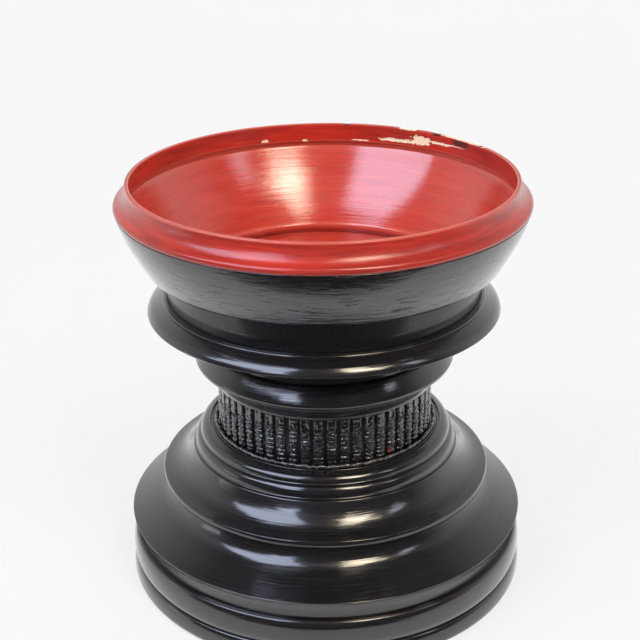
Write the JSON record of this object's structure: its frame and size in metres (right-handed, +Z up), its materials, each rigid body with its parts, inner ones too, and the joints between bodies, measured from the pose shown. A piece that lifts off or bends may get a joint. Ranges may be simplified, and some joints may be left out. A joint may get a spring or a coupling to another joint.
{
  "type": "hsun ok offering vessel",
  "caption": "Lacquered offering vessel: wide red-lined bowl with a drawn-in lip on a waisted, ring-turned black pedestal with a beaded relief frieze.",
  "frame": {"origin": "on the vessel's axis, on the floor plane under the foot", "axes": "+Z up along the turning axis; -Y faces the picture's camera"},
  "size_m": [0.3472, 0.3472, 0.355],
  "materials": {
    "black_lacquer": "glossy black lacquer, brushed and rubbed, on turned wood",
    "relief_putty": "hand-rolled lacquer putty relief, black",
    "bowl_lacquer": "black lacquer outside and red lacquer inside on turned wood",
    "red_lacquer": "satin red lacquer with fine brush marks",
    "lip_bamboo": "bent bamboo hoop under chipped red lacquer"
  },
  "bodies": {
    "root": {"foot_ring": "black_lacquer", "foot_middle_ring": "black_lacquer", "foot_top_ring": "black_lacquer", "lower_skirt": "black_lacquer", "upper_skirt": "black_lacquer", "lower_bead_ring": "black_lacquer", "upper_bead_ring": "black_lacquer", "waist_drum": "black_lacquer", "frieze_strips": "relief_putty", "frieze_cord": "relief_putty", "fillet_ring": "black_lacquer", "cushion_ring": "black_lacquer", "flange_disc": "black_lacquer", "seat_bead": "relief_putty", "neck_ring": "black_lacquer", "bowl_floor": "red_lacquer", "bowl_wall": "bowl_lacquer", "bowl_collar": "red_lacquer", "lip_hoop": "lip_bamboo"}
  },
  "joints": []
}
